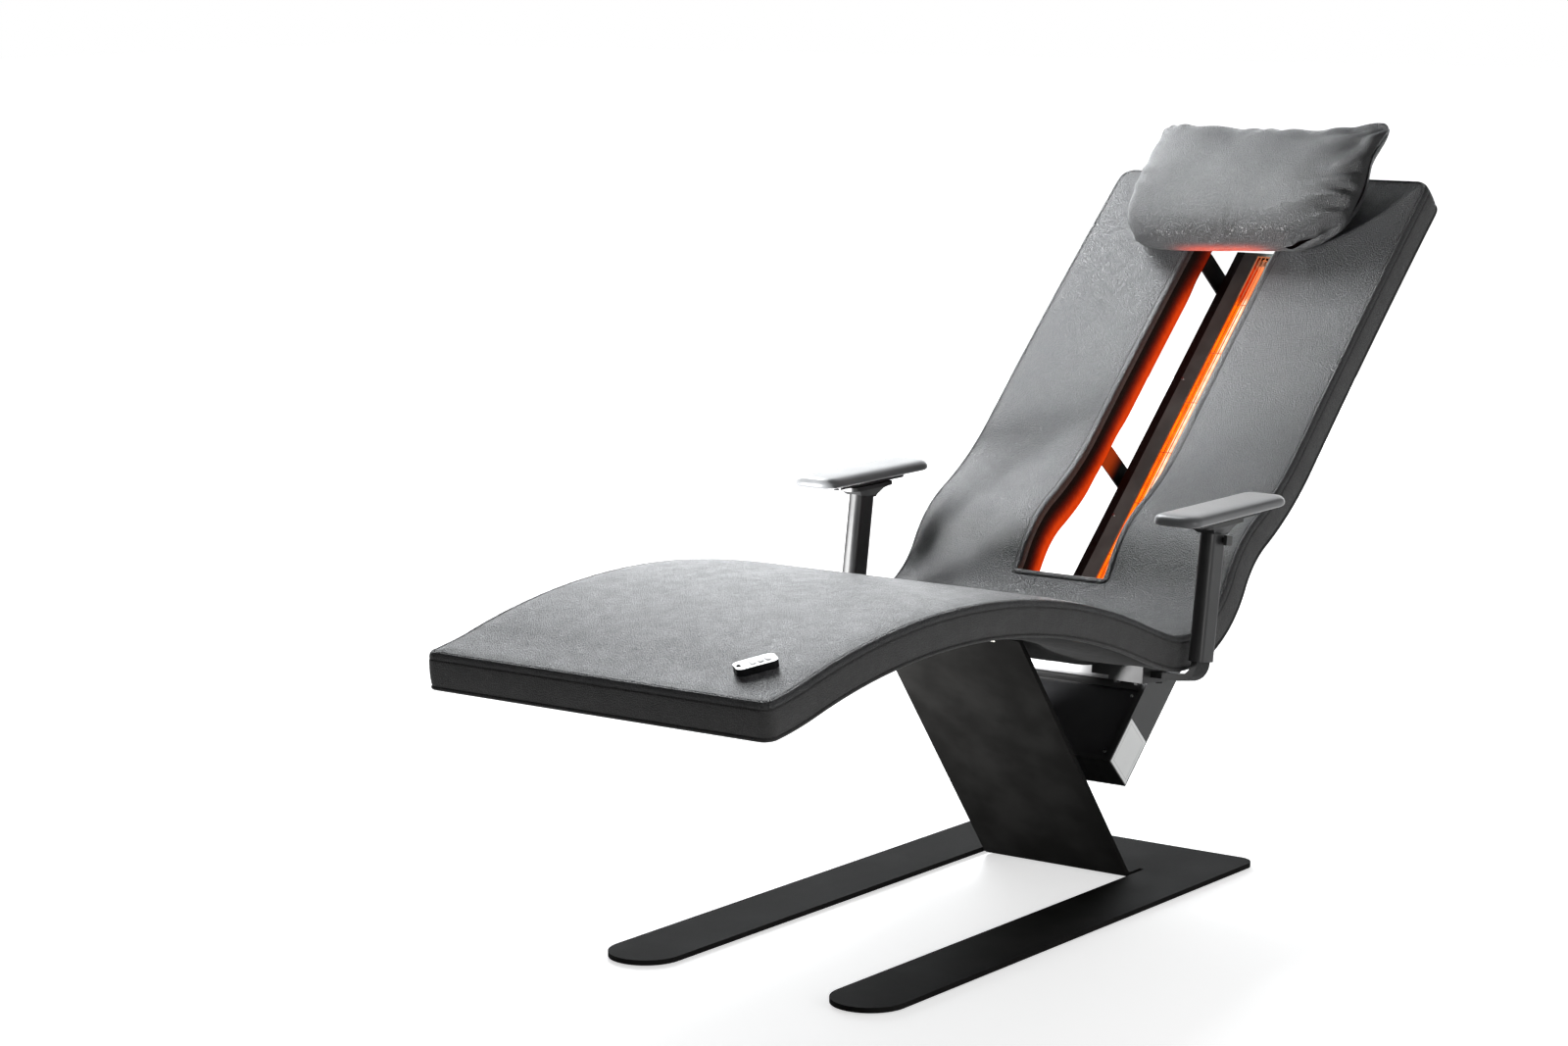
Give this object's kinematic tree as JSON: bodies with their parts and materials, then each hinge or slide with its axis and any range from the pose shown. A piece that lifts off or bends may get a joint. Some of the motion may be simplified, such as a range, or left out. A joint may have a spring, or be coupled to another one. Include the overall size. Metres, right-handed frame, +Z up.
{
  "type": "infrared lounger",
  "caption": "Upholstered S-curved lounger on a folded steel foot with a slotted back, an infrared lamp behind it, armrests, neck pillow and remote.",
  "frame": {"origin": "on the floor, at the middle of the lounger's width and of its length (foot end to top edge of the back)", "axes": "+X to the sitter's left, +Y from the foot end towards the head end, +Z up"},
  "size_m": [0.755, 1.8734, 1.158],
  "materials": {
    "powder_coat": "satin black powder coat",
    "panel_coat": "fine-textured black powder coat",
    "grey_coat": "matt grey powder coat",
    "hanger_coat": "satin grey",
    "zinc": "zinc plated",
    "guard_steel": "heat-tinted bright wire",
    "plywood": "moulded plywood, hidden",
    "leatherette": "dark blue-grey fine-grained leatherette over foam, satin",
    "underside_cloth": "black woven cloth over wadding",
    "hook_tape": "hook-and-loop tape",
    "lead_sleeve": "glass-fibre sleeving",
    "reflector_gold": "gold-tinted polished sheet, glowing with the lamp",
    "quartz": "clear quartz, lit",
    "filament": "glowing",
    "ceramic": "unglazed steatite",
    "black_plastic": "fine-textured black",
    "pad_foam": "soft moulded polyurethane, satin",
    "button_plastic": "smooth black",
    "label_film": "blank white film",
    "circuit_board": "green solder mask",
    "power_case": "plain sheet",
    "rubber": "black",
    "remote_gloss": "gloss black",
    "remote_grey": "light grey, satin",
    "key_grey": "pale grey, satin"
  },
  "bodies": {
    "lounger": {"base_frame": "powder_coat", "floor_glides": "rubber", "pedestal_bolts": "zinc", "shell_core": "plywood", "upholstery": "leatherette", "underside_cover": "underside_cloth", "ir_housing": "powder_coat", "ir_cover": "grey_coat", "ir_cover_screws": "zinc", "reflector": "reflector_gold", "quartz_tube": "quartz", "filament": "filament", "tube_holders": "ceramic", "wire_guard": "guard_steel", "lamp_leads": "lead_sleeve", "lead_grommet": "rubber", "ir_strap_low": "powder_coat", "ir_strap_top": "powder_coat", "strap_screws": "zinc", "box_hanger": "hanger_coat", "hanger_screws": "zinc", "box_body": "powder_coat", "box_panel": "panel_coat", "panel_screws": "zinc", "rating_label": "label_film", "mains_inlet": "black_plastic", "control_board": "circuit_board", "power_unit": "power_case", "arm_block_left": "black_plastic", "arm_block_right": "black_plastic", "arm_block_bolts": "zinc", "arm_bracket_left": "powder_coat", "arm_bracket_right": "powder_coat"},
    "arm_left": {"arm_sleeve_left": "black_plastic"},
    "button_left": {"arm_button_left": "button_plastic"},
    "pad_left": {"arm_base_left": "black_plastic", "arm_pad_left": "pad_foam"},
    "arm_right": {"arm_sleeve_right": "black_plastic"},
    "button_right": {"arm_button_right": "button_plastic"},
    "pad_right": {"arm_base_right": "black_plastic", "arm_pad_right": "pad_foam"},
    "headrest": {"pillow": "leatherette", "pillow_strips": "hook_tape"},
    "remote": {"remote_case": "remote_gloss", "remote_plate": "remote_grey", "remote_board": "circuit_board"},
    "key_1": {"key_1": "key_grey"},
    "key_2": {"key_2": "key_grey"},
    "key_3": {"key_3": "key_grey"}
  },
  "joints": [
    {"name": "arm_left_height", "type": "slide", "parent": "lounger", "child": "arm_left", "axis": [0, 0.165, 0.9863], "range_m": [0, 0.08]},
    {"name": "pad_left_slide", "type": "slide", "parent": "arm_left", "child": "pad_left", "axis": [0, 1, 0], "range_m": [-0.03, 0.03]},
    {"name": "button_left_press", "type": "slide", "parent": "arm_left", "child": "button_left", "axis": [-1, 0, 0], "range_m": [0, 0.004], "stiffness_N_per_m": 700},
    {"name": "arm_right_height", "type": "slide", "parent": "lounger", "child": "arm_right", "axis": [0, 0.165, 0.9863], "range_m": [0, 0.08]},
    {"name": "pad_right_slide", "type": "slide", "parent": "arm_right", "child": "pad_right", "axis": [0, 1, 0], "range_m": [-0.03, 0.03]},
    {"name": "button_right_press", "type": "slide", "parent": "arm_right", "child": "button_right", "axis": [1, 0, 0], "range_m": [0, 0.004], "stiffness_N_per_m": 700},
    {"name": "pillow_slide", "type": "slide", "parent": "lounger", "child": "headrest", "axis": [0, 0.7441, 0.6681], "range_m": [-0.08, 0.03]},
    {"name": "remote_lift", "type": "slide", "parent": "lounger", "child": "remote", "axis": [0, -0.2432, 0.97], "range_m": [0, 0.05]},
    {"name": "key_1_press", "type": "slide", "parent": "remote", "child": "key_1", "axis": [0, 0.2432, -0.97], "range_m": [0, 0.0008], "stiffness_N_per_m": 1500},
    {"name": "key_2_press", "type": "slide", "parent": "remote", "child": "key_2", "axis": [0, 0.2432, -0.97], "range_m": [0, 0.0008], "stiffness_N_per_m": 1500},
    {"name": "key_3_press", "type": "slide", "parent": "remote", "child": "key_3", "axis": [0, 0.2432, -0.97], "range_m": [0, 0.0008], "stiffness_N_per_m": 1500}
  ]
}
